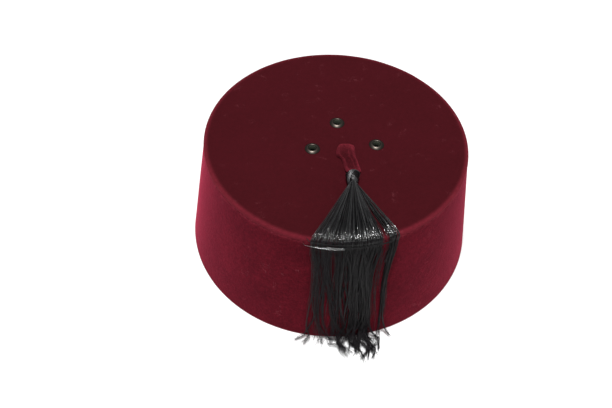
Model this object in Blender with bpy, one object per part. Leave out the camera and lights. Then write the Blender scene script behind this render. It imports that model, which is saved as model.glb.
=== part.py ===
"""A velvet fez with three metal eyelets and a black tassel.

Metres, +Z up, -Y the front. The origin is the centre of the head opening, in the
plane of the bottom edge, and the hat's axis is the Z axis. An azimuth is counted
from the front (-Y) towards the hat's right in the view (+X), in degrees.
"""

import math
from collections import namedtuple

import bmesh
import bpy
import numpy as np

# The hat's shell.
TOP_RADIUS = 0.0830
BASE_RADIUS = 0.0943
HEIGHT = 0.0823
WALL = 0.0025
GAP = 0.0003
TURNS = 96
MERGE = 0.00001

DISC_THICKNESS = 0.0028
DISC_OVERHANG = 0.0005
DISC_EDGE = 0.0012
BAND_EDGE = 0.0009
HEM_EDGE = 0.0005

# The eyelets: places on the top, and the sizes that all three share.
Eyelet = namedtuple("Eyelet", "name x y")
EYELETS = (
    Eyelet("eyelet_back", 0.0003, 0.0140),
    Eyelet("eyelet_left", -0.0148, -0.0102),
    Eyelet("eyelet_right", 0.0253, -0.0039),
)
EYELET_RADIUS = 0.0047
EYELET_HOLE = 0.0025
EYELET_METAL = 0.0004
EYELET_RISE = 0.0012
EYELET_CROWN = (125, 90, 55, 22)
EYELET_LOWER_ROLL = 0.00065
EYELET_TURNS = 20

# The neck of the tassel lies level on the top, along Y.
NECK_X = 0.0101
NECK_BACK = -0.0319
NECK_FRONT = -0.0418
NECK_RISE = 0.0043
NECK_RADIUS = 0.0024
WRAPS = (0.0039, 0.0039, 0.0036, 0.0034, 0.0031)
WRAP_PITCH = 0.0016
WRAP_REACH = 72
BINDING_TURNS = 20

# The tassel's fan of threads, which spreads from the neck to the front edge. A section of it
# is a superellipse, whose power goes from ROUND at the neck to FLAT at the edge.
FAN_LEFT = -10.4
FAN_RIGHT = 19.4
FAN_LOCKS = 8
FAN_HALF = 0.0009
FAN_RIDGE = 0.35
FAN_DROP = 0.0100
FAN_HEM_HALF = 0.0004
ROUND = 2
FLAT = 10
FanRow = namedtuple("FanRow", "share height half")
FAN_ROWS = (
    # share of the way from the neck to the bend, height above the top, half thickness
    FanRow(0.10, 0.0040, 0.0022),
    FanRow(0.22, 0.0033, 0.0017),
    FanRow(0.36, 0.0025, 0.0013),
    FanRow(0.52, 0.0020, 0.0010),
    FanRow(0.70, 0.0019, 0.0009),
    FanRow(0.86, 0.0022, 0.0009),
)

# The line that the threads follow from there, in a plane through the hat's axis.
EDGE_LIFT = 0.0026
EDGE_OFFSET = 0.0026
FOOT_OFFSET = 0.0018
FLOOR_LIFT = 0.0015
EDGE_BEND = 0.0060
FOOT_BEND = 0.0050
BEND_STEPS = 6

# The locks that hang from the fan, from left to right: azimuths in degrees, and widths.
Lock = namedtuple("Lock", "edge halfway foot tip tip_radius edge_wide half_wide foot_wide tip_wide")
LOCKS = (
    Lock(-8.6, -6.6, -7.2, -11.4, 0.1090, 0.0056, 0.0024, 0.0019, 0.0011),
    Lock(-5.0, -3.9, -3.9, -6.4, 0.1020, 0.0060, 0.0034, 0.0024, 0.0012),
    Lock(-1.3, -0.6, 0.6, 1.4, 0.1050, 0.0060, 0.0048, 0.0044, 0.0018),
    Lock(2.4, 2.5, 3.6, 4.6, 0.1075, 0.0060, 0.0048, 0.0042, 0.0018),
    Lock(6.1, 5.9, 6.5, 7.8, 0.1095, 0.0060, 0.0040, 0.0038, 0.0018),
    Lock(9.8, 9.3, 9.2, 10.3, 0.1115, 0.0060, 0.0054, 0.0048, 0.0020),
    Lock(13.5, 12.6, 12.2, 12.9, 0.1180, 0.0060, 0.0056, 0.0046, 0.0016),
    Lock(17.2, 15.7, 15.3, 17.0, 0.1040, 0.0060, 0.0046, 0.0036, 0.0014),
)
SIDE_LOCK = Lock(23.8, 22.0, 20.9, 21.0, 0.1030, 0.0064, 0.0046, 0.0034, 0.0014)
SIDE_LOCK_ROOT = 0.0022
LOCK_THICKNESS = 0.0022
TIP_THICKNESS = 0.0012
LOCK_SIDES = 8
WALL_SECTIONS = 7
FLOOR_SECTIONS = 3

# The tab, from its sewn end to the neck. Heights are above the top.
TabSection = namedtuple("TabSection", "y left right under left_roll middle right_roll")
TAB_SECTIONS = (
    TabSection(-0.0064, 0.0034, 0.0098, 0.0003, 0.0012, 0.0012, 0.0011),
    TabSection(-0.0076, 0.0018, 0.0110, 0.0003, 0.0024, 0.0025, 0.0020),
    TabSection(-0.0096, 0.0008, 0.0114, 0.0003, 0.0029, 0.0023, 0.0022),
    TabSection(-0.0130, 0.0003, 0.0117, 0.0003, 0.0029, 0.0017, 0.0022),
    TabSection(-0.0165, 0.0004, 0.0120, 0.0003, 0.0026, 0.0015, 0.0022),
    TabSection(-0.0195, 0.0022, 0.0125, 0.0003, 0.0021, 0.0014, 0.0023),
    TabSection(-0.0225, 0.0038, 0.0131, 0.0003, 0.0023, 0.0015, 0.0025),
    TabSection(-0.0260, 0.0050, 0.0137, 0.0004, 0.0029, 0.0021, 0.0030),
    TabSection(-0.0290, 0.0062, 0.0138, 0.0009, 0.0042, 0.0036, 0.0042),
    TabSection(-0.0316, 0.0073, 0.0129, 0.0020, 0.0060, 0.0064, 0.0060),
)
TAB_COLUMNS = 14
ROLL_PLACE = 0.68
ROLL_SPREAD = 0.26
TAB_SIDE = 0.4
TAB_SHOULDER = 6

# Colours as seen, sRGB, and how rough each finish is.
VELVET_TOP = "4a1720"
VELVET_SIDE = "5c1722"
VELVET_TAB = "5a1a24"
VELVET_ROUGHNESS = 0.9
GUNMETAL = "4a4543"
METAL_ROUGHNESS = 0.3
THREAD = "202122"
THREAD_ROUGHNESS = 0.4
CREASE_ANGLE = math.radians(40)


def clear_scene():
    for thing in list(bpy.data.objects):
        bpy.data.objects.remove(thing, do_unlink=True)


def linear(hex_colour):
    """The linear value of an sRGB hex colour, with alpha."""
    channels = [int(hex_colour[i:i + 2], 16) / 255 for i in (0, 2, 4)]
    powers = [c / 12.92 if c <= 0.04045 else ((c + 0.055) / 1.055) ** 2.4 for c in channels]
    return (*powers, 1.0)


def material(name, hex_colour, roughness, metallic=0.0):
    made = bpy.data.materials.new(name)
    made.use_nodes = True
    shader = made.node_tree.nodes["Principled BSDF"]
    shader.inputs["Base Color"].default_value = linear(hex_colour)
    shader.inputs["Roughness"].default_value = roughness
    shader.inputs["Metallic"].default_value = metallic
    return made


def add_object(name, points, edges, faces, finish=None):
    mesh = bpy.data.meshes.new(name)
    mesh.from_pydata([tuple(map(float, p)) for p in points], edges, faces)
    mesh.update()
    made = bpy.data.objects.new(name, mesh)
    bpy.context.scene.collection.objects.link(made)
    if finish:
        mesh.materials.append(finish)
    if faces:
        mesh.shade_smooth()
        mesh.set_sharp_from_angle(angle=CREASE_ANGLE)
    return made


def turned(name, profile, turns, finish):
    """A (radius, height) profile turned about Z: a closed one, or one that starts and ends on the axis."""
    points = [(r, 0.0, z) for r, z in profile]
    edges = [(i, i + 1) for i in range(len(points) - 1)]
    starts_on_axis = profile[0][0] == 0.0
    if not starts_on_axis:
        edges.append((len(points) - 1, 0))
    made = add_object(name, points, edges, [], finish)
    screw = made.modifiers.new("turn", "SCREW")
    screw.steps = turns
    screw.render_steps = turns
    screw.use_merge_vertices = True
    screw.merge_threshold = MERGE
    screw.use_smooth_shade = True
    return made


def arc(centre, radius, start, end, steps):
    """Points of an arc in the (radius, height) plane, angles in degrees."""
    angles = np.radians(np.linspace(start, end, steps + 1))
    return [(centre[0] + radius * math.cos(a), centre[1] + radius * math.sin(a)) for a in angles]


def wall_radius(z):
    """The outer radius of the side at a height."""
    return BASE_RADIUS + (TOP_RADIUS - BASE_RADIUS) * z / HEIGHT


def side_band():
    """The conical wall: a rounded upper edge under the disc, and a turned hem."""
    top = HEIGHT - DISC_THICKNESS - GAP
    upper = (wall_radius(top) - BAND_EDGE, top - BAND_EDGE)
    hem = (BASE_RADIUS - HEM_EDGE, HEM_EDGE)
    profile = arc(upper, BAND_EDGE, 90, 0, 4)
    profile += arc(hem, HEM_EDGE, 0, -90, 2)
    profile += [(BASE_RADIUS - WALL + HEM_EDGE, 0.0), (BASE_RADIUS - WALL, HEM_EDGE)]
    profile += [(wall_radius(top) - WALL, top - HEM_EDGE), (wall_radius(top) - WALL + HEM_EDGE, top)]
    turned("side_band", profile, TURNS, material("velvet_side", VELVET_SIDE, VELVET_ROUGHNESS))


def top_disc():
    """The flat top: a disc with a rounded edge, pierced for the eyelets."""
    rim = TOP_RADIUS + DISC_OVERHANG
    under = HEIGHT - DISC_THICKNESS
    edge = (rim - DISC_EDGE, HEIGHT - DISC_EDGE)
    profile = [(0.0, HEIGHT)] + arc(edge, DISC_EDGE, 90, 0, 4)
    profile += arc((rim - DISC_EDGE, under + DISC_EDGE), DISC_EDGE, 0, -90, 3)
    profile.append((0.0, under))
    made = turned("top_disc", profile, TURNS, material("velvet_top", VELVET_TOP, VELVET_ROUGHNESS))
    for name, x, y in EYELETS:
        cut(made, hole_cutter(name + "_cutter", x, y))


def hole_cutter(name, x, y):
    """An upright cylinder through the disc that leaves a gap round an eyelet's barrel."""
    mesh = bpy.data.meshes.new(name)
    form = bmesh.new()
    radius = EYELET_HOLE + EYELET_METAL + GAP
    depth = 2 * DISC_THICKNESS
    bmesh.ops.create_cone(
        form, cap_ends=True, segments=EYELET_TURNS, radius1=radius, radius2=radius, depth=depth
    )
    form.to_mesh(mesh)
    form.free()
    made = bpy.data.objects.new(name, mesh)
    made.location = (x, y, HEIGHT - DISC_THICKNESS / 2)
    bpy.context.scene.collection.objects.link(made)
    return made


def cut(target, cutter):
    add_boolean(target, cutter, "DIFFERENCE")


def fuse(target, other):
    add_boolean(target, other, "UNION")


def add_boolean(target, other, operation):
    other.hide_render = True
    other.display_type = "WIRE"
    boolean = target.modifiers.new(other.name, "BOOLEAN")
    boolean.operation = operation
    boolean.object = other


def eyelets():
    """Rolled flange above, barrel through the top, and a rolled rim inside the hat."""
    metal = material("gunmetal", GUNMETAL, METAL_ROUGHNESS, 1.0)
    barrel = EYELET_HOLE + EYELET_METAL
    roll = (EYELET_RADIUS - barrel) / 2
    crown = [
        (barrel + roll + roll * math.cos(a), GAP + (EYELET_RISE - GAP) * math.sin(a))
        for a in np.radians(EYELET_CROWN)
    ]
    seat = -DISC_THICKNESS - GAP
    profile = [
        (EYELET_HOLE, EYELET_METAL),
        (barrel, EYELET_RISE - EYELET_METAL),
        *crown,
        (EYELET_RADIUS, GAP + EYELET_METAL / 2),
        (EYELET_RADIUS - EYELET_METAL, GAP),
        (barrel, GAP),
        (barrel, seat),
        (EYELET_RADIUS - 2 * EYELET_METAL, seat),
        (EYELET_RADIUS - EYELET_METAL, seat - EYELET_METAL),
        (barrel, seat - EYELET_LOWER_ROLL),
        (EYELET_HOLE, seat - EYELET_METAL),
    ]
    for name, x, y in EYELETS:
        turned(name, profile, EYELET_TURNS, metal).location = (x, y, HEIGHT)


def loft(name, rings, finish=None):
    """A closed skin over rings of points, all of one even count, with a cap at each end."""
    rings = np.asarray(rings)
    rows, columns = rings.shape[:2]
    faces = []
    for i in range(rows - 1):
        for j in range(columns):
            k = (j + 1) % columns
            faces.append((i * columns + k, i * columns + j, (i + 1) * columns + j, (i + 1) * columns + k))
    last = (rows - 1) * columns
    for face in cap(columns):
        faces.append(face)
        faces.append(tuple(last + i for i in reversed(face)))
    return add_object(name, rings.reshape(-1, 3), [], faces, finish)


def cap(columns):
    """The faces that close a ring as a strip, from its first point to the one opposite."""
    half = columns // 2
    strip = [(i, i + 1, columns - i - 1, columns - i) for i in range(1, half - 1)]
    return [(0, 1, columns - 1)] + strip + [(half - 1, half, half + 1)]


def flat_ring(upper, lower):
    """One ring from two rows of points, left to right, that share their end points."""
    return np.vstack([upper, lower[-2:0:-1]])


def centre_tab():
    """A folded strip: a soft roll along each side, one across its sewn end, and a gathered neck."""
    across = np.linspace(-1, 1, TAB_COLUMNS + 1)
    near_left = np.exp(-((across + ROLL_PLACE) / ROLL_SPREAD) ** 2)
    near_right = np.exp(-((across - ROLL_PLACE) / ROLL_SPREAD) ** 2)
    shoulder = np.sqrt(1 - np.abs(across) ** TAB_SHOULDER)
    rings = []
    for row in TAB_SECTIONS:
        x = row.left + (row.right - row.left) * (across + 1) / 2
        y = np.full_like(x, row.y)
        crown = row.middle + (row.left_roll - row.middle) * near_left
        crown += (row.right_roll - row.middle) * near_right
        side = row.under + (crown.min() - row.under) * TAB_SIDE
        upper = HEIGHT + side + (crown - side) * shoulder
        lower = HEIGHT + side - (side - row.under) * shoulder
        rings.append(flat_ring(np.column_stack([x, y, upper]), np.column_stack([x, y, lower])))
    loft("centre_tab", rings, material("velvet_tab", VELVET_TAB, VELVET_ROUGHNESS))


def tassel_binding():
    """Turns of thread wound side by side round the neck, slimmer towards the fan."""
    inner = NECK_RADIUS + GAP
    length = WRAP_PITCH * len(WRAPS)
    profile = []
    for index, radius in enumerate(WRAPS):
        centre = (radius - WRAP_PITCH / 2, -WRAP_PITCH * (index + 0.5))
        profile += arc(centre, WRAP_PITCH / 2, WRAP_REACH, -WRAP_REACH, 3)
    profile += [(inner, -length), (inner, 0.0)]
    finish = material("thread_binding", THREAD, THREAD_ROUGHNESS)
    made = turned("tassel_binding", profile, BINDING_TURNS, finish)
    made.rotation_euler = (math.radians(-90), 0, 0)
    made.location = (NECK_X, (NECK_BACK + NECK_FRONT + length) / 2, HEIGHT + NECK_RISE)


def rounded_line(corners, bends, steps):
    """A broken line in a plane whose inner corners are arcs, as an array of points."""
    corners = np.asarray(corners)
    points = [corners[0]]
    for before, corner, after, radius in zip(corners, corners[1:], corners[2:], bends):
        way_in = (corner - before) / np.linalg.norm(corner - before)
        way_out = (after - corner) / np.linalg.norm(after - corner)
        turn = math.acos(float(way_in @ way_out))
        reach = radius * math.tan(turn / 2)
        towards = (way_out - way_in) / np.linalg.norm(way_out - way_in)
        centre = corner + towards * radius / math.cos(turn / 2)
        start = corner - way_in * reach - centre
        side = np.sign(way_in[0] * way_out[1] - way_in[1] * way_out[0])
        for share in np.linspace(0, 1, steps + 1):
            a = side * turn * share
            c, s = math.cos(a), math.sin(a)
            points.append(centre + np.array([c * start[0] - s * start[1], s * start[0] + c * start[1]]))
    points.append(corners[-1])
    return np.array(points)


def fall_line(tip_radius):
    """(radius, height) of the threads' middle: over the edge, down the side and out on the floor."""
    corners = [
        (0.0, HEIGHT + EDGE_LIFT),
        (TOP_RADIUS + EDGE_OFFSET, HEIGHT + EDGE_LIFT),
        (BASE_RADIUS + FOOT_OFFSET, FLOOR_LIFT),
        (tip_radius, FLOOR_LIFT),
    ]
    return rounded_line(corners, (EDGE_BEND, FOOT_BEND), BEND_STEPS)[1:]


def lengths_along(points):
    steps = np.linalg.norm(np.diff(points, axis=0), axis=1)
    return np.concatenate([[0.0], np.cumsum(steps)])


def smooth_through(places, values, wanted):
    """A curve through the values: a cubic in each span, its slopes taken from the neighbours."""
    places, values = np.asarray(places), np.asarray(values)
    slopes = np.gradient(values, places)
    span = np.clip(np.searchsorted(places, wanted) - 1, 0, len(places) - 2)
    width = places[span + 1] - places[span]
    t = np.clip((wanted - places[span]) / width, 0, 1)
    start, end = values[span], values[span + 1]
    return (
        (2 * t**3 - 3 * t**2 + 1) * start
        + (t**3 - 2 * t**2 + t) * width * slopes[span]
        + (3 * t**2 - 2 * t**3) * end
        + (t**3 - t**2) * width * slopes[span + 1]
    )


def place(radius, azimuth, z):
    """Points from radius, azimuth in degrees and height."""
    angle = np.radians(azimuth)
    return np.column_stack([radius * np.sin(angle), -radius * np.cos(angle), z + 0 * angle])


def sideways_at(azimuth):
    """The level unit vectors that point along the hat's side, to the right."""
    return place(1.0, np.asarray(azimuth) + 90, 0.0)


def swept(name, path, sideways, widths, thicknesses):
    """An oval section carried along a path, its width along the sideways vectors."""
    ahead = np.gradient(path, axis=0)
    ahead /= np.linalg.norm(ahead, axis=1)[:, None]
    sideways = sideways - (sideways * ahead).sum(axis=1)[:, None] * ahead
    sideways /= np.linalg.norm(sideways, axis=1)[:, None]
    out = np.cross(ahead, sideways)
    angles = 2 * np.pi * (np.arange(LOCK_SIDES) + 0.5) / LOCK_SIDES
    rings = [
        p - np.outer(np.cos(angles) * w / 2, a) + np.outer(np.sin(angles) * t / 2, n)
        for p, a, n, w, t in zip(path, sideways, out, widths, thicknesses)
    ]
    return loft(name, rings)


def below_edge(row, first_step, first_thick):
    """A lock from the bend at the edge to its tip: path, sideways vectors, widths and thicknesses."""
    line = fall_line(row.tip_radius)
    along = lengths_along(line)
    marked_steps = [first_step, BEND_STEPS, BEND_STEPS + 1, -2, -1]
    edge_start, edge_end, foot_start, foot_end, tip = along[marked_steps]
    wanted = np.concatenate([
        along[first_step:BEND_STEPS],
        np.linspace(edge_end, foot_start, WALL_SECTIONS),
        along[BEND_STEPS + 3:-1:2],
        np.linspace(foot_end, tip, FLOOR_SECTIONS)[1:],
    ])
    marks = (edge_start, (edge_end + foot_start) / 2, foot_start, tip)
    azimuth = smooth_through(marks, (row.edge, row.halfway, row.foot, row.tip), wanted)
    widths = smooth_through(marks, (row.edge_wide, row.half_wide, row.foot_wide, row.tip_wide), wanted)
    thick_marks = (edge_start, edge_start + FAN_DROP, foot_start, tip)
    thick = np.interp(wanted, thick_marks, (first_thick, LOCK_THICKNESS, LOCK_THICKNESS, TIP_THICKNESS))
    radius, z = (np.interp(wanted, along, column) for column in line.T)
    return place(radius, azimuth, z), sideways_at(azimuth), widths, thick


def lock(name, row):
    """A lock that starts inside the fan where it bends."""
    return swept(name, *below_edge(row, 2, FAN_HALF))


def side_lock():
    """The lock at the right, which leaves the fan close to the neck."""
    path, sideways, widths, thick = below_edge(SIDE_LOCK, 0, LOCK_THICKNESS)
    root = np.array([NECK_X + NECK_RADIUS / 2, NECK_FRONT])
    shares = np.array([row.share for row in FAN_ROWS])
    heights = np.array([HEIGHT + row.height for row in FAN_ROWS])
    on_top = np.column_stack([root + np.outer(shares, path[0, :2] - root), heights])
    path = np.vstack([on_top, path])
    sideways = np.vstack([np.tile(sideways[0], (len(shares), 1)), sideways])
    widths = np.concatenate([np.interp(shares, (0, 1), (SIDE_LOCK_ROOT, SIDE_LOCK.edge_wide)), widths])
    thick = np.concatenate([[2 * row.half for row in FAN_ROWS], thick])
    return swept("side_lock", path, sideways, widths, thick)


def fan_ring(middle, up, half, flatness, ridge):
    """The ring of one cross-section of the fan: ridged above, smooth below, thin at its sides."""
    across = np.linspace(-1, 1, len(middle))
    rise = (half * (1 - np.abs(across) ** flatness) ** (1 / flatness))[:, None]
    waves = (1 - ridge * np.cos(np.pi * FAN_LOCKS * (across + 1)))[:, None]
    return flat_ring(middle + up * rise * waves, middle - up * rise)


def fan():
    """The neck, and the sheet of threads that spreads from it and bends over the edge."""
    across = np.linspace(-1, 1, 4 * FAN_LOCKS + 1)
    azimuth = FAN_LEFT + (FAN_RIGHT - FAN_LEFT) * (across + 1) / 2
    line = fall_line(BASE_RADIUS + 2 * FOOT_BEND)
    along = lengths_along(line)
    neck = np.column_stack([NECK_X + NECK_RADIUS * across, 0 * across, 0 * across])
    bend = place(line[0, 0], azimuth, 0.0)
    upward = np.tile((0.0, 0.0, 1.0), (len(across), 1))
    rings = []
    for y in (NECK_BACK, NECK_FRONT):
        rings.append(fan_ring(neck + (0, y, HEIGHT + NECK_RISE), upward, NECK_RADIUS, ROUND, 0))
    for row in FAN_ROWS:
        middle = (neck + (0, NECK_FRONT, 0)) * (1 - row.share) + bend * row.share
        middle += (0, 0, HEIGHT + row.height)
        flatness = ROUND + (FLAT - ROUND) * row.share
        rings.append(fan_ring(middle, upward, row.half, flatness, FAN_RIDGE * row.share))
    hem = along[BEND_STEPS] + np.array([0.3, 0.6, 1.0]) * FAN_DROP
    slopes = np.gradient(line, along, axis=0)
    outward = place(1.0, azimuth, 0.0)
    for distance in np.concatenate([along[:BEND_STEPS + 1], hem]):
        radius, z = (np.interp(distance, along, column) for column in line.T)
        ahead_r, ahead_z = (np.interp(distance, along, column) for column in slopes.T)
        half = np.interp(distance, (along[BEND_STEPS], hem[-1]), (FAN_HALF, FAN_HEM_HALF))
        up = upward * ahead_r - outward * ahead_z
        rings.append(fan_ring(place(radius, azimuth, z), up, half, FLAT, FAN_RIDGE))
    return loft("tassel", rings, material("thread_tassel", THREAD, THREAD_ROUGHNESS))


def tassel():
    """The fan with its locks, fused in one body."""
    made = fan()
    for index, row in enumerate(LOCKS):
        fuse(made, lock(f"lock_{index + 1}", row))
    fuse(made, side_lock())


def main():
    clear_scene()
    side_band()
    top_disc()
    eyelets()
    centre_tab()
    tassel_binding()
    tassel()


main()
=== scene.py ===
import math

import bpy
import numpy as np
from mathutils import Matrix, Vector


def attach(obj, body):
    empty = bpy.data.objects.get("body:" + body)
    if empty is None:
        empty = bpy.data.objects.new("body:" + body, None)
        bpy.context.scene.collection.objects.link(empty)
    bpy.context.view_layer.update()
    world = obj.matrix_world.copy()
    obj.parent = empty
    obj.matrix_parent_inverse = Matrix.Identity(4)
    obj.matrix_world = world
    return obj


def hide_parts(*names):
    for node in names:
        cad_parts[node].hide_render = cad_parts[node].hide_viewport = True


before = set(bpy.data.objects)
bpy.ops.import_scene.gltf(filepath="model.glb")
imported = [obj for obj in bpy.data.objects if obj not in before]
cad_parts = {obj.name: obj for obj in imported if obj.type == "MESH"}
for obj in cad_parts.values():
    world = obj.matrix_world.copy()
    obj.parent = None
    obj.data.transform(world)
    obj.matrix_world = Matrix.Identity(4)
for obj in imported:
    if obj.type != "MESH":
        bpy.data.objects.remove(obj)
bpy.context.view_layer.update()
print("frame loaded")

# Shapes are worked out in millimetres and become metres when their mesh is filled.
# An azimuth is in degrees from the front, -Y, towards the right in the view, +X.
millimetre = 0.001
hat = dict(
    topRadius=83.0,
    baseRadius=94.3,
    height=82.3,
    wall=2.5,
    discThickness=2.8,
    discOverhang=0.5,
    seamGap=0.3,  # between the top and what is joined to it from below
    oval=0.76,  # how far the base is out of round
    ovalAzimuth=-33.0,  # where it reaches furthest out
)


def linearColour(hexValue):
    # an sRGB hex colour as the linear red, green, blue and alpha that a socket takes
    channels = np.array([int(hexValue[i:i + 2], 16) / 255 for i in (0, 2, 4)])
    linear = np.where(channels <= 0.04045, channels / 12.92, ((channels + 0.055) / 1.055) ** 2.4)
    return (*linear.tolist(), 1.0)


def addNode(tree, kind, settings=None, links=None):
    # a node, its properties and input values set by name, and its inputs fed by other nodes' outputs
    node = tree.nodes.new(kind)
    for name, value in (settings or {}).items():
        if isinstance(name, str) and hasattr(node, name):
            setattr(node, name, value)
        else:
            node.inputs[name].default_value = value
    for name, socket in (links or {}).items():
        tree.links.new(socket, node.inputs[name])
    return node


def newMaterial(name):
    # an empty node tree, to be filled by the code that follows
    material = bpy.data.materials.new(name)
    material.use_nodes = True
    material.node_tree.nodes.clear()
    return material, material.node_tree


def finishMaterial(tree, settings, links=None):
    # every material here ends in one shader and the output
    shader = addNode(tree, "ShaderNodeBsdfPrincipled", settings, links)
    addNode(tree, "ShaderNodeOutputMaterial", links={"Surface": shader.outputs["BSDF"]})


def together(*parts):
    # arrays spread over one grid and stacked, the last axis telling them apart
    return np.stack(np.broadcast_arrays(*parts), axis=-1)


def wallRadius(z):
    # the cone of the side: its radius falls evenly from the base to the top
    return hat["baseRadius"] + (hat["topRadius"] - hat["baseRadius"]) * z / hat["height"]


def outOfRound(azimuth, z):
    # a hat in use is a little oval at the base and round again at the top: the change in radius goes
    # round as a cosine of twice the azimuth, and falls evenly with height
    return hat["oval"] * (1 - z / hat["height"]) * np.cos(np.radians(2 * (azimuth - hat["ovalAzimuth"])))


def around(radius, azimuth, z):
    # points at a radius, an azimuth and a height, as one array with x, y and z last
    angle = np.radians(azimuth)
    return together(radius * np.sin(angle), -radius * np.cos(angle), z)


def gridQuads(rows, columns, closedRows=False):
    # the quads of a grid of points kept row by row: its last column joins its first, and closedRows
    # joins its last row to its first
    i = np.arange(rows if closedRows else rows - 1)[:, None]
    j = np.arange(columns)[None, :]
    up, right = (i + 1) % rows, (j + 1) % columns
    return together(
        i * columns + j, up * columns + j, up * columns + right, i * columns + right).reshape(-1, 4)


def makePiece(name, points, faces, materials, slotName, standsFor=(), finish=None, **values):
    # a mesh from points in millimetres and lists of corners, riding on the hat's one body; finish
    # tells which of its materials each face has, and values are attributes of its points
    mesh = bpy.data.meshes.new(name)
    mesh.from_pydata((points.reshape(-1, 3) * millimetre).tolist(), [], faces)
    mesh.update()
    mesh.polygons.foreach_set("use_smooth", np.ones(len(mesh.polygons), bool))
    for material in materials:
        mesh.materials.append(material)
    if finish is not None:
        mesh.polygons.foreach_set("material_index", finish.astype(np.int32))
    for label, value in values.items():
        attribute = mesh.attributes.new(label, "FLOAT", "POINT")
        attribute.data.foreach_set("value", value.astype(np.float32).ravel())
    piece = bpy.data.objects.new(name, mesh)
    bpy.context.scene.collection.objects.link(piece)
    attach(piece, "root")
    if standsFor:
        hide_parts(*standsFor)
    return mesh


def rise(value, start, end):
    # 0 up to the start, 1 from the end, and a smooth rise between
    t = np.clip((value - start) / (end - start), 0, 1)
    return t * t * (3 - 2 * t)


def arc(middle, radius, start, end, steps):
    # points of an arc round a middle in the radius and height plane, angles in degrees
    angles = np.radians(np.linspace(start, end, steps + 1))
    return np.column_stack([middle[0] + radius * np.cos(angles), middle[1] + radius * np.sin(angles)])


def evenly(start, end, steps):
    # points along a straight line in the radius and height plane, without its two ends
    share = np.linspace(0, 1, steps + 1)[1:-1, None]
    return np.array(start) * (1 - share) + np.array(end) * share


def gentleWaves(x, y, seed, count, longest):
    # a sum of sine waves in seeded directions, from the longest wavelength down to a fifth of it
    rng = np.random.default_rng(seed)
    total = np.zeros(np.broadcast(x, y).shape)
    for direction, share, phase in rng.uniform(0, 1, (count, 3)):
        wave = longest * (1 - 0.8 * share)
        along = x * math.cos(2 * math.pi * direction) + y * math.sin(2 * math.pi * direction)
        total += np.sin(2 * math.pi * (along / wave + phase)) * wave / longest
    return total / count


# Cotton velvet: an upright pile of short fibres. It swallows light seen straight on, and its tips
# catch a pinkish glow where the surface turns away, so it is rough with a strong sheen. Its colour is
# painted paler where an attribute on its points is near 1: along rims and folds, for pile that opens
# there and for a painted sheen highlight on those rolls, and just above the hem.
velvet = dict(
    # noises: metres across a spot, detail, roughness, distortion
    patches=(0.030, 4.0, 0.6, 0.4),  # where the pile leans another way
    nap=(0.0008, 2.0, 0.7, 0.0),  # the real pile is 0.2 mm across, too fine to show: drawn at 0.8 mm
    streaks=(0.0024, 3.0, 0.65, 0.0),
    lint=(0.0042, 1.0, 0.5, 1.0),  # a loop of the curly lint caught in the pile
    fewPlaces=(0.007636, 0.0, 0.2, 0.0),  # where there is lint
    # at a contrast of 1: how far grain and streaks darken and lighten the pile, and their relief
    napShade=0.26,
    streakShade=0.24,
    napRelief=0.5,
    napDepth=0.00024,
    streakRelief=0.3,
    streakDepth=0.0005,
    lintWidth=0.012,  # of its line, in the noise that draws it
    lintBounds=(0.68, 0.74),  # lint starts and is full at these values of fewPlaces
    lintHex="8a4a52",
)


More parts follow.
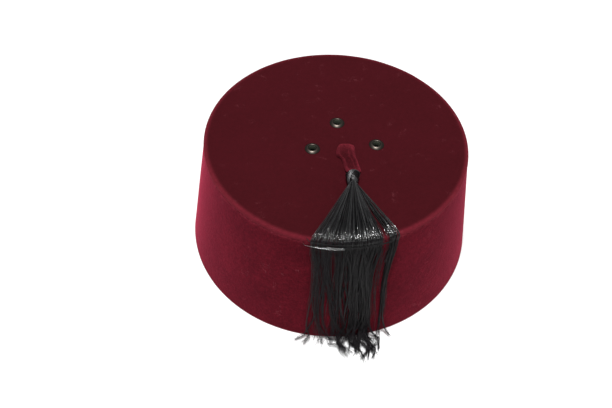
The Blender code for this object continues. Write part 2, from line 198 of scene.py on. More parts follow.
def velvetMaterial(name, deepHex, mainHex, wornAndSheenHex, sheenHex, contrast, lint):
    # the pile's colour runs from deep to main in large patches, is mixed towards a paler colour where the
    # pile opens and a sheen highlight is painted, and is multiplied by grain and streaks; contrast is their
    # strength and lint that of the lint
    material, tree = newMaterial(name)
    place = addNode(tree, "ShaderNodeTexCoord").outputs["Object"]
    noises = {}
    for noise in ("patches", "streaks", "nap", "lint", "fewPlaces"):
        size, detail, roughness, distortion = velvet[noise]
        noises[noise] = addNode(
            tree, "ShaderNodeTexNoise",
            {"Scale": 1 / size, "Detail": detail, "Roughness": roughness, "Distortion": distortion},
            {"Vector": place}).outputs["Fac"]
    lean = addNode(
        tree, "ShaderNodeMapRange", {"From Min": 0.25, "From Max": 0.75}, {"Value": noises["patches"]})
    colour = addNode(
        tree, "ShaderNodeMix",
        {"data_type": "RGBA", 6: linearColour(deepHex), 7: linearColour(mainHex)},
        {0: lean.outputs["Result"]})
    napShade, streakShade = velvet["napShade"] * contrast, velvet["streakShade"] * contrast
    fibre = addNode(
        tree, "ShaderNodeMapRange",
        {"From Min": 0.3, "From Max": 0.7, "To Min": 1 - napShade, "To Max": 1 + napShade},
        {"Value": noises["nap"]})
    streak = addNode(
        tree, "ShaderNodeMapRange",
        {"From Min": 0.3, "From Max": 0.7, "To Min": 1 - streakShade, "To Max": 1 + streakShade},
        {"Value": noises["streaks"]})
    # painted sheen: the attribute mixes in the paler colour along rims and rolls, where the pile also opens,
    # and just above the hem; streaks break it up
    wearAndSheen = addNode(tree, "ShaderNodeAttribute", {"attribute_name": "pileWear"})
    worn = addNode(
        tree, "ShaderNodeMath", {"operation": "MULTIPLY", "use_clamp": True},
        {0: wearAndSheen.outputs["Fac"], 1: streak.outputs["Result"]})
    openedAndSheen = addNode(
        tree, "ShaderNodeMix", {"data_type": "RGBA", 7: linearColour(wornAndSheenHex)},
        {0: worn.outputs["Value"], 6: colour.outputs[2]})
    grain = addNode(
        tree, "ShaderNodeMath", {"operation": "MULTIPLY"},
        {0: fibre.outputs["Result"], 1: streak.outputs["Result"]})
    tinted = addNode(
        tree, "ShaderNodeVectorMath", {"operation": "SCALE"},
        {0: openedAndSheen.outputs[2], "Scale": grain.outputs["Value"]})
    # lint: the thin line where one noise crosses its middle value, kept only in a few small patches
    onLine = addNode(
        tree, "ShaderNodeMath", {"operation": "COMPARE", 1: 0.5, 2: velvet["lintWidth"]},
        {0: noises["lint"]})
    lintStart, lintFull = velvet["lintBounds"]
    inPatch = addNode(
        tree, "ShaderNodeMapRange", {"From Min": lintStart, "From Max": lintFull, "To Max": lint},
        {"Value": noises["fewPlaces"]})
    lintHere = addNode(
        tree, "ShaderNodeMath", {"operation": "MULTIPLY"},
        {0: onLine.outputs["Value"], 1: inPatch.outputs["Result"]})
    withLint = addNode(
        tree, "ShaderNodeMix", {"data_type": "RGBA", 7: linearColour(velvet["lintHex"])},
        {0: lintHere.outputs["Value"], 6: tinted.outputs["Vector"]})
    coarse = addNode(
        tree, "ShaderNodeBump",
        {"Strength": velvet["streakRelief"] * contrast, "Distance": velvet["streakDepth"]},
        {"Height": noises["streaks"]})
    relief = addNode(
        tree, "ShaderNodeBump",
        {"Strength": velvet["napRelief"] * contrast, "Distance": velvet["napDepth"]},
        {"Height": noises["nap"], "Normal": coarse.outputs["Normal"]})
    finishMaterial(
        tree, {"Roughness": 0.95, "Specular IOR Level": 0.05, "Sheen Weight": 1.0,
               "Sheen Roughness": 0.45, "Sheen Tint": linearColour(sheenHex)},
        {"Base Color": withLint.outputs[2], "Normal": relief.outputs["Normal"]})
    return material


# one cotton velvet in three copies: the side's deep and main colours are painted lighter than the top's,
# painted light for the light falling on the side, and the tab's deep colour is darker, a painted shade for
# its hollow middle
sideVelvet = velvetMaterial(
    "cottonVelvetSide", "38060d", "530e18", "6c202b", "a02c46", contrast=1.3, lint=0.3)
topVelvet = velvetMaterial(
    "cottonVelvetTop", "340a0f", "380b11", "5e1a24", "8c2c3c", contrast=0.35, lint=0.14)
tabVelvet = velvetMaterial(
    "cottonVelvetTab", "2f080d", "380b11", "5a1a23", "7c2835", contrast=1.0, lint=0.0)

cotton = dict(
    weaveSize=0.0009,  # real threads lie about 0.3 mm apart, too fine to show, so drawn at 0.9 mm
    weaveDepth=0.0002,
)


def liningMaterial():
    # plain-woven cotton lining: dull and flat, with its threads just showing
    material, tree = newMaterial("plainCottonLining")
    place = addNode(tree, "ShaderNodeTexCoord").outputs["Object"]
    weave = addNode(
        tree, "ShaderNodeTexNoise", {"Scale": 1 / cotton["weaveSize"], "Detail": 2.0}, {"Vector": place})
    colour = addNode(
        tree, "ShaderNodeMix",
        {"data_type": "RGBA", 6: linearColour("1f0508"), 7: linearColour("3b0f15")},
        {0: weave.outputs["Fac"]})
    relief = addNode(
        tree, "ShaderNodeBump", {"Strength": 0.3, "Distance": cotton["weaveDepth"]},
        {"Height": weave.outputs["Fac"]})
    finishMaterial(
        tree, {"Roughness": 0.85, "Specular IOR Level": 0.25},
        {"Base Color": colour.outputs[2], "Normal": relief.outputs["Normal"]})
    return material


lining = liningMaterial()

plating = dict(
    rubSize=0.0012,  # metres across a rubbed spot
    # heights above the top, in millimetres, where the rubbing starts and where it is full
    rubStart=0.6,
    rubFull=1.3,
)


def gunmetalMaterial():
    # black-nickel plated brass: dark, with small soft highlights, and rubbed paler along the crown
    material, tree = newMaterial("blackNickelBrass")
    place = addNode(tree, "ShaderNodeTexCoord").outputs["Object"]
    height = addNode(tree, "ShaderNodeSeparateXYZ", links={"Vector": place})
    rub = addNode(
        tree, "ShaderNodeTexNoise", {"Scale": 1 / plating["rubSize"], "Detail": 4.0, "Roughness": 0.7},
        {"Vector": place})
    crown = addNode(
        tree, "ShaderNodeMapRange",
        {"From Min": (hat["height"] + plating["rubStart"]) * millimetre,
         "From Max": (hat["height"] + plating["rubFull"]) * millimetre},
        {"Value": height.outputs["Z"]})
    worn = addNode(
        tree, "ShaderNodeMath", {"operation": "MULTIPLY"},
        {0: crown.outputs["Result"], 1: rub.outputs["Fac"]})
    colour = addNode(
        tree, "ShaderNodeMix",
        {"data_type": "RGBA", 6: linearColour("48423d"), 7: linearColour("524c46")},
        {0: worn.outputs["Value"]})
    gloss = addNode(
        tree, "ShaderNodeMapRange", {"To Min": 0.32, "To Max": 0.44}, {"Value": rub.outputs["Fac"]})
    finishMaterial(
        tree, {"Metallic": 1.0}, {"Base Color": colour.outputs[2], "Roughness": gloss.outputs["Result"]})
    return material


def boreMaterial():
    # dulled brass inside the barrel, where the plating is thin: a dim greenish grey
    material, tree = newMaterial("dulledBrassBore")
    finishMaterial(tree, {"Base Color": linearColour("62685a"), "Metallic": 0.3, "Roughness": 0.6})
    return material


gunmetal = gunmetalMaterial()
dulledBrass = boreMaterial()

rayon = dict(
    ior=1.78,  # rayon's own is 1.54; raised until the bend shines like the real thread
    twistLength=1.2566,  # millimetres to a turn of the twist, drawn long enough to show
    twistDepth=0.00006,
    unrolledWidth=1.2,  # millimetres round a thread on its unrolled map, the same for all
)


def rayonMaterial(name, deepHex, paleHex, smoothest, roughest, gloss):
    # black rayon thread: smooth round filaments, so a thread is near black with a silvery line of
    # light along it; its own shade is in an attribute, and a paler thread is a more rubbed, rougher
    # one; a wave texture makes a turn in 0.2 pi of its unit
    material, tree = newMaterial(name)
    shade = addNode(tree, "ShaderNodeAttribute", {"attribute_name": "threadShade"})
    colour = addNode(
        tree, "ShaderNodeMix",
        {"data_type": "RGBA", 6: linearColour(deepHex), 7: linearColour(paleHex)},
        {0: shade.outputs["Fac"]})
    rubbed = addNode(
        tree, "ShaderNodeMapRange", {"To Min": smoothest, "To Max": roughest},
        {"Value": shade.outputs["Fac"]})
    unrolled = addNode(tree, "ShaderNodeUVMap", {"uv_map": "unrolled"})
    twist = addNode(
        tree, "ShaderNodeTexWave",
        {"bands_direction": "DIAGONAL", "Scale": 0.2 * math.pi / rayon["twistLength"],
         "Distortion": 0.6, "Detail": 1.0},
        {"Vector": unrolled.outputs["UV"]})
    relief = addNode(
        tree, "ShaderNodeBump", {"Strength": 0.25, "Distance": rayon["twistDepth"]},
        {"Height": twist.outputs["Fac"]})
    finishMaterial(
        tree, {"Specular IOR Level": gloss, "IOR": rayon["ior"]},
        {"Base Color": colour.outputs[2], "Roughness": rubbed.outputs["Result"],
         "Normal": relief.outputs["Normal"]})
    return material


glossyRayon = rayonMaterial("rayonThreadGlossy", "040405", "1a1b1d", 0.1, 0.36, 1.0)
mattedRayon = rayonMaterial("rayonThreadMatted", "0a0809", "141215", 0.38, 0.5, 0.1)  # rubbed ends
# painted light: a paler copy of the thread that lifts the shade on the thin left threads, the loose threads
# and every tip on the floor
paintedLightRayon = rayonMaterial("rayonThreadPaintedLight", "161315", "262226", 0.4, 0.5, 0.1)  # thin and paler
bindingRayon = rayonMaterial("rayonBindingThread", "08090a", "1f2023", 0.3, 0.44, 0.5)
print("materials made")

side = dict(
    hemRadius=0.6,
    upperEdge=0.4,
    sewnGap=0.05,  # the velvet closes the seam under the top but for this
    outerRows=72,
    innerRows=10,
    turns=288,
    waves=dict(seed=3, count=12, longest=70),
    waveDepth=0.10,  # velvet over stiff board is almost even
    waveRadius=90,  # of the round that they are worked out on
    seamAzimuth=180.0,
    seamWidth=1.1,
    seamDepth=0.35,
    fade=6,  # how far above the hem waves and seam have their full depth
    # how far the pile is painted paler, and over what height: below the upper edge, for pile opened
    # there and a painted sheen highlight on its roll, and above the hem
    edgeWearAndSheen=0.9,
    edgeBand=2.2,
    hemPaling=0.5,
    hemBand=(0.5, 2.0),
)


def makeSideBand():
    # a closed profile turned round the axis: up the outer wall, over the upper edge, down the inner
    # wall and round the hem, the outer wall moved in or out by gentle waves and at the back seam
    top = hat["height"] - hat["discThickness"] - side["sewnGap"]
    hem, edge, wall = side["hemRadius"], side["upperEdge"], hat["wall"]
    outerFoot = (hat["baseRadius"], hem)
    outerTop = (wallRadius(top - edge), top - edge)
    innerTop = (wallRadius(top) - wall, top - hem)
    innerFoot = (hat["baseRadius"] - wall, hem)
    outer = np.vstack([outerFoot, evenly(outerFoot, outerTop, side["outerRows"])])
    upperEdge = np.vstack([
        arc((outerTop[0] - edge, outerTop[1]), edge, 0, 90, 5), (innerTop[0] + hem, top)])
    inner = np.vstack([innerTop, evenly(innerTop, innerFoot, side["innerRows"]), innerFoot])
    lowerHem = np.vstack([
        arc((innerFoot[0] + hem, hem), hem, 180, 270, 3)[1:],
        arc((outerFoot[0] - hem, hem), hem, 270, 360, 4)[:-1]])
    profile = np.vstack([outer, upperEdge, inner, lowerHem])
    azimuth = np.arange(side["turns"]) * 360 / side["turns"]
    radius = np.repeat(profile[:, :1], len(azimuth), axis=1)
    z = np.repeat(profile[:, 1:], len(azimuth), axis=1)
    radius += outOfRound(azimuth, z)
    wavy = len(outer) + len(upperEdge) // 2  # the waves run half way over the upper edge
    across = np.cos(np.radians(azimuth)) * side["waveRadius"]
    waves = gentleWaves(across, z[:wavy], **side["waves"]) * side["waveDepth"]
    fromSeam = np.radians(np.abs((azimuth - side["seamAzimuth"] + 180) % 360 - 180)) * hat["topRadius"]
    groove = np.exp(-(fromSeam / side["seamWidth"]) ** 2) * side["seamDepth"]
    radius[:wavy] += (waves - groove) * np.clip((z[:wavy] - hem) / side["fade"], 0, 1)
    points = around(radius, azimuth, z)
    quads = gridQuads(len(profile), len(azimuth), closedRows=True)[:, ::-1]
    row = np.arange(len(quads)) // len(azimuth)
    firstInner = len(outer) + len(upperEdge)
    inside = (row >= firstInner) & (row < firstInner + len(inner))
    # painted sheen: the roll below the upper edge is painted paler, for pile opened there and the sheen it
    # catches; the hem's roll is painted paler too
    wornEdgeAndSheen = side["edgeWearAndSheen"] * rise(z, top - side["edgeBand"], top)
    palerHem = side["hemPaling"] * (1 - rise(z, *side["hemBand"]))
    makePiece(
        "sideBand", points, quads.tolist(), [sideVelvet, lining], "velvet_side", ["side_band"],
        finish=inside, pileWear=wornEdgeAndSheen + palerHem)


makeSideBand()

# x and y of the three eyelets in the top
eyeletPlaces = dict(eyeletBack=(0.3, 14.0), eyeletLeft=(-14.8, -10.2), eyeletRight=(25.3, -3.9))

disc = dict(
    edgeRadius=1.8,
    lowerEdgeRadius=0.45,
    rings=108,
    turns=240,
    waves=dict(seed=5, count=14, longest=60),
    waveDepth=0.10,
    waveFade=6,  # how far in from the round edge the waves have their full depth
    wobble=dict(seed=17, count=16, longest=26),  # the turned edge of the velvet is a little uneven
    wobbleDepth=0.22,
    wobbleBand=(5, 0.5),  # how far in from the rim it starts and is full
    # painted sheen: over this band the rounded edge is painted paler, for pile opened there and the sheen
    # highlight it catches
    wornAndSheenBand=(3.6, 0.4),  # the same for the opened pile
    holeRadius=3.2,
    snapShare=0.62,  # of a ring's spacing: points this near a hole's circle move onto it
)


def makeTopDisc():
    # the flat top, its round edge and its flat underside as one grid of rings from centre to centre;
    # points next to an eyelet's hole move onto its circle, and a short wall joins the two faces there
    rim = hat["topRadius"] + hat["discOverhang"]
    under = hat["height"] - hat["discThickness"]
    roll, lowerRoll = disc["edgeRadius"], disc["lowerEdgeRadius"]
    flat = np.linspace(0, rim - roll, disc["rings"])[1:]
    upper = np.column_stack([flat, np.full_like(flat, hat["height"])])
    lower = np.column_stack([flat[::-1], np.full_like(flat, under)])
    edge = np.vstack([
        arc((rim - roll, hat["height"] - roll), roll, 90, 0, 7)[1:],
        arc((rim - lowerRoll, under + lowerRoll), lowerRoll, 0, -90, 4),
    ])
    profile = np.vstack([upper, edge, lower])
    azimuth = np.arange(disc["turns"]) * 360 / disc["turns"]
    points = around(profile[:, :1], azimuth[None, :], profile[:, 1:])
    count, turns = len(upper), disc["turns"]
    waves = gentleWaves(points[:count, :, 0], points[:count, :, 1], **disc["waves"])
    fade = np.clip((rim - roll - flat[:, None]) / disc["waveFade"], 0, 1)
    points[:count, :, 2] += waves * disc["waveDepth"] * fade
    wobble = gentleWaves(points[:-count, :, 0], points[:-count, :, 1], **disc["wobble"])
    wobbleStart, wobbleFull = disc["wobbleBand"]
    wobble *= disc["wobbleDepth"] * rise(profile[:-count, :1], rim - wobbleStart, rim - wobbleFull)
    points[:-count, :, 2] += wobble
    hidden = np.zeros(points.shape[:2], bool)
    spacing = flat[1] - flat[0]
    for x, y in eyeletPlaces.values():
        across = points[..., :2] - (x, y)
        distance = np.linalg.norm(across, axis=-1)
        near = np.abs(distance - disc["holeRadius"]) < disc["snapShare"] * spacing
        moved = across / np.maximum(distance, 1e-6)[..., None] * disc["holeRadius"] + (x, y)
        points[..., :2] = np.where(near[..., None], moved, points[..., :2])
        hidden |= (distance < disc["holeRadius"]) | near
    quads = gridQuads(len(profile), turns)
    gone = hidden.reshape(-1)[quads].all(axis=1)
    kept = quads[~gone]
    top = quads[gone & (quads.max(axis=1) < count * turns)]
    # an edge used by one removed quad only lies on the hole's rim, and is joined to the one below it
    sides = np.stack([top, np.roll(top, -1, axis=1)], axis=-1).reshape(-1, 2)
    ordered = np.sort(sides, axis=1)
    _, first, uses = np.unique(ordered, axis=0, return_index=True, return_counts=True)
    rimEdges = sides[first[uses == 1]]
    ring, turn = rimEdges // turns, rimEdges % turns
    below = (len(profile) - 1 - ring) * turns + turn
    walls = np.column_stack([rimEdges[:, 0], rimEdges[:, 1], below[:, 1], below[:, 0]])
    poles = np.array([[0, 0, points[0, :, 2].mean()], [0, 0, under]])
    firstPole = len(profile) * turns
    spokes = np.arange(turns)
    nextSpokes = (spokes + 1) % turns
    topCap = np.column_stack([np.full(turns, firstPole), nextSpokes, spokes])
    last = (len(profile) - 1) * turns
    underCap = np.column_stack([np.full(turns, firstPole + 1), last + spokes, last + nextSpokes])
    points = np.vstack([points.reshape(-1, 3), poles])
    quads = np.vstack([kept, walls])
    caps = np.vstack([topCap, underCap])[:, ::-1]
    used = np.zeros(len(points), bool)
    used[quads], used[caps] = True, True
    renumber = np.cumsum(used) - 1
    points = points[used]
    faces = renumber[quads].tolist() + renumber[caps].tolist()
    inside = np.zeros(len(faces), bool)
    inside[:len(kept)] = kept.min(axis=1) >= (len(upper) + len(edge) - 1) * turns
    inside[-turns:] = True
    # painted sheen: the rounded edge is painted paler, for pile opened there and the sheen highlight it
    # catches
    wornAndSheenStart, wornAndSheenFull = disc["wornAndSheenBand"]
    worn = rise(np.linalg.norm(points[:, :2], axis=1), rim - wornAndSheenStart, rim - wornAndSheenFull)
    makePiece(
        "topDisc", points, faces, [topVelvet, lining], "velvet_top", ["top_disc"],
        finish=inside, pileWear=worn)


makeTopDisc()
print("velvet shell made")

eyelet = dict(
    radius=4.7,
    hole=2.35,
    metal=0.4,
    rise=1.2,
    lip=0.1,  # how high the bore's wall stands above the top
    crownFlare=0.15,
    crownArc=(0.25, 2.85),  # radians of a half turn that the crown's points are spread over
    crownPoints=17,
    crownSkew=0.5,  # below 1 it is highest near the bore and slopes down towards its rim
    crownRound=0.8,  # below 1 it is fuller than a sine
    lowerReach=3.9,
    turns=56,
    nodes=dict(eyeletBack="eyelet_back", eyeletLeft="eyelet_left", eyeletRight="eyelet_right"),
)


def makeEyelets():
    # one closed profile turned about each eyelet's axis: up the bore, over the rolled crown, under
    # its flange, down the barrel and round the lower rim; the crown's height is a skewed sine
    bore, reach, lip, low = eyelet["hole"], eyelet["radius"], eyelet["lip"], eyelet["lowerReach"]
    barrel = bore + eyelet["metal"]
    seat = -hat["discThickness"] - hat["seamGap"]
    share = (1 - np.cos(np.linspace(*eyelet["crownArc"], eyelet["crownPoints"]))) / 2
    crown = np.column_stack([
        bore + (reach + eyelet["crownFlare"] - bore) * share,
        lip + (eyelet["rise"] - lip) * np.sin(np.pi * share ** eyelet["crownSkew"]) ** eyelet["crownRound"]])
    boreLine = np.vstack([(bore, seat), evenly((bore, seat), (bore, lip), 4), (bore, lip)])
    profile = np.vstack([
        boreLine,
        crown,
        [(reach, 0.12), (reach - 0.25, 0.04), (barrel + 0.4, 0.25), (barrel, -0.1)],
        evenly((barrel, -0.1), (barrel, seat), 3),
        [(barrel, seat), (low - 0.2, seat + 0.02), (low, seat - 0.15), (low - 0.2, seat - 0.4),
         (barrel + 0.1, seat - 0.62), (bore + 0.15, seat - 0.35)],
    ])
    azimuth = np.arange(eyelet["turns"]) * 360 / eyelet["turns"]
    quads = gridQuads(len(profile), eyelet["turns"], closedRows=True)
    inBore = np.arange(len(quads)) < eyelet["turns"] * len(boreLine)
    for name, (x, y) in eyeletPlaces.items():
        points = around(profile[:, :1], azimuth[None, :], profile[:, 1:]) + (x, y, hat["height"])
        makePiece(
            name, points, quads.tolist(), [gunmetal, dulledBrass], "gunmetal", [eyelet["nodes"][name]],
            finish=inBore)


makeEyelets()
print("eyelets made")

tab = dict(
    # the folded strip from its sewn end to the neck, a row for each place along it: y, the edges left
    # and right, then heights above the top of the underside, the left roll, the middle and the right
    # roll, and last how far it is painted paler: pile opened there and a painted sheen highlight
    sections=[
        (-6.2, 3.6, 10.0, 0.3, 1.4, 1.3, 1.2, 0.7),
        (-7.4, 1.8, 11.0, 0.3, 3.0, 3.0, 2.6, 1.0),
        (-9.4, 0.6, 11.6, 0.3, 3.3, 1.9, 2.3, 0.45),
        (-13.0, 0.1, 12.0, 0.3, 3.2, 0.9, 2.2, 0.1),
        (-16.0, 0.5, 12.4, 0.3, 2.9, 0.8, 2.2, 0.0),
        (-18.2, 3.0, 12.9, 0.3, 2.3, 0.8, 2.4, 0.0),
        (-21.5, 4.3, 13.8, 0.3, 2.3, 0.9, 2.7, 0.0),
        (-26.0, 5.1, 14.9, 0.4, 2.7, 1.4, 3.2, 0.1),
        (-29.0, 6.0, 15.1, 0.9, 4.0, 3.1, 4.2, 0.3),
        (-32.4, 7.0, 13.6, 2.0, 5.8, 6.0, 5.8, 0.4),
    ],
    rows=90,
    across=48,
    # places and widths across the strip count from -1 at its left edge to 1 at its right
    rollPlace=0.78,
    rollSpread=0.2,
    rollWearAndSheen=0.6,
    flapPlace=0.30,  # a second, lower crease inside the right roll
    flapSpread=0.1,
    flapHeight=0.5,
    flapWearAndSheen=0.4,
    creases=dict(seed=11, count=10, longest=7),
    creaseDepth=0.3,
    creaseScale=(9, 0.35),  # across the strip and along it: small creases run lengthwise
    fullCreases=2,  # the strip's thickness from which they are full
    squareness=5,  # the power that keeps the strip full up to its edges
    edgeHeight=0.4,  # of the edges, as a share of the lowest crown
)


def through(places, values, wanted):
    # a curve through values at rising places: a cubic in each span, its slopes from the neighbours
    slopes = np.gradient(values, places)
    span = np.clip(np.searchsorted(places, wanted) - 1, 0, len(places) - 2)
    width = places[span + 1] - places[span]
    t = (wanted - places[span]) / width
    return (
        (2 * t**3 - 3 * t**2 + 1) * values[span] + (t**3 - 2 * t**2 + t) * width * slopes[span]
        + (3 * t**2 - 2 * t**3) * values[span + 1] + (t**3 - t**2) * width * slopes[span + 1])


def makeTab():
    # a grid over the strip: each row is a flat ring whose upper side has a roll near both edges,
    # its sizes taken from curves through the sections, and small creases added along the strip
    sections = np.array(tab["sections"])
    steps = np.linalg.norm(np.diff(sections[:, [0, 1]], axis=0), axis=1)
    places = np.concatenate([[0], np.cumsum(steps)])
    wanted = places[-1] * np.linspace(0, 1, tab["rows"])
    y, left, right, under, leftRoll, middle, rightRoll, openedAndSheen = (
        through(places, column, wanted)[:, None] for column in sections.T)
    u = np.cos(np.linspace(np.pi, 0, tab["across"] + 1))[None, :]
    leftBump = np.exp(-((u + tab["rollPlace"]) / tab["rollSpread"]) ** 2)
    rightBump = np.exp(-((u - tab["rollPlace"]) / tab["rollSpread"]) ** 2)
    flap = np.exp(-((u - tab["flapPlace"]) / tab["flapSpread"]) ** 2) * (1 - openedAndSheen)
    crown = middle + (leftRoll - middle) * leftBump + (rightRoll - middle) * rightBump
    crown = crown + flap * tab["flapHeight"]
    acrossScale, alongScale = tab["creaseScale"]
    creases = gentleWaves(u * acrossScale, y * alongScale, **tab["creases"]) * tab["creaseDepth"]
    creases = creases * np.clip((crown - under) / tab["fullCreases"], 0, 1)
    shoulder = np.sqrt(np.clip(1 - np.abs(u) ** tab["squareness"], 0, 1))
    edge = under + (crown.min(axis=1, keepdims=True) - under) * tab["edgeHeight"]
    upperZ = edge + (crown - edge + creases) * shoulder
    lowerZ = edge - (edge - under) * shoulder
    x = left + (right - left) * (u + 1) / 2
    upper, lower = (together(x, y, hat["height"] + z) for z in (upperZ, lowerZ))
    rings = np.concatenate([upper, lower[:, -2:0:-1]], axis=1)
    rows, columns = rings.shape[:2]
    quads = gridQuads(rows, columns)
    half = columns // 2
    strip = [(0, 1, columns - 1)] + [(i, i + 1, columns - i - 1, columns - i) for i in range(1, half - 1)]
    strip.append((half - 1, half, half + 1))
    last = (rows - 1) * columns
    ends = strip + [tuple(last + i for i in reversed(face)) for face in strip]
    faces = quads.tolist() + [list(face) for face in ends]
    # painted sheen: the rolls, the flap and the sewn end are painted paler, for pile opened there and the
    # sheen highlight they catch
    wearAndSheen = openedAndSheen + tab["rollWearAndSheen"] * leftBump + tab["rollWearAndSheen"] * rightBump + tab["flapWearAndSheen"] * flap
    wearAndSheen = np.clip(wearAndSheen, 0, 1)
    makePiece("centreTab", rings, faces, [tabVelvet], "velvet_tab", ["centre_tab"],
              pileWear=np.concatenate([wearAndSheen, wearAndSheen[:, -2:0:-1]], axis=1))


makeTab()
print("tab made")


def sweptThreads(paths, radii, sides):
    # tubes along many paths at once: at each station a small polygon stands square to the path,
    # turned from a direction that leans outwards and up; returns points, quads, end caps and lengths
    ahead = np.gradient(paths, axis=1)
    ahead /= np.linalg.norm(ahead, axis=2, keepdims=True)
    lean = paths * (1, 1, 0)
    lean /= np.linalg.norm(lean, axis=2, keepdims=True)
    across = np.cross(ahead, lean + (0, 0, 1))
    across /= np.linalg.norm(across, axis=2, keepdims=True)
    above = np.cross(across, ahead)
    angle = 2 * np.pi * np.arange(sides) / sides
    wheel = np.cos(angle)[:, None] * across[:, :, None] + np.sin(angle)[:, None] * above[:, :, None]
    rings = paths[:, :, None] + wheel * radii[:, :, None, None]
    threads, stations = paths.shape[:2]
    first = np.arange(threads)[:, None, None] * stations * sides
    quads = (gridQuads(stations, sides)[None] + first).reshape(-1, 4)
    caps = np.concatenate([
        np.arange(sides)[None] + first[:, 0],
        np.arange(sides)[None, ::-1] + (stations - 1) * sides + first[:, 0]])
    steps = np.linalg.norm(np.diff(paths, axis=1), axis=2)
    lengths = np.concatenate([np.zeros((threads, 1)), np.cumsum(steps, axis=1)], axis=1)
    return rings.reshape(-1, 3), quads, caps, lengths


def threadPiece(name, paths, thickness, shades, materials, slotName, standsFor=(), sides=3,
                changes=None, dull=None):
    # one mesh of many threads, with an unrolled map in millimetres and a shade for each thread; past
    # the first station of changes a thread has the second material, which a dull one has from its
    # start, and past the other station the third
    stations = paths.shape[1]
    radii = np.broadcast_to(thickness, paths.shape[:2]) / 2
    points, quads, caps, lengths = sweptThreads(paths, radii, sides)
    finish = np.zeros(len(quads) + len(caps))
    if changes is not None:
        segment = (np.arange(len(quads)) // sides) % (stations - 1)
        second = (segment >= changes[0]) | np.repeat(dull, (stations - 1) * sides)
        finish[:len(quads)] = np.where(segment >= changes[1], 2, second)
    mesh = makePiece(
        name, points, quads.tolist() + caps.tolist(), materials, slotName, standsFor, finish,
        threadShade=np.repeat(shades, stations * sides))
    width = rayon["unrolledWidth"]
    u0 = (np.arange(sides) / sides * width)[None, None]
    u1 = u0 + width / sides
    v0, v1 = lengths[:, :-1, None], lengths[:, 1:, None]
    corners = [together(u, v) for u, v in ((u0, v0), (u0, v1), (u1, v1), (u1, v0))]
    unrolled = np.zeros((len(mesh.loops), 2))
    unrolled[:len(quads) * 4] = np.stack(corners, axis=-2).reshape(-1, 2)
    mesh.uv_layers.new(name="unrolled").data.foreach_set("uv", unrolled.ravel())


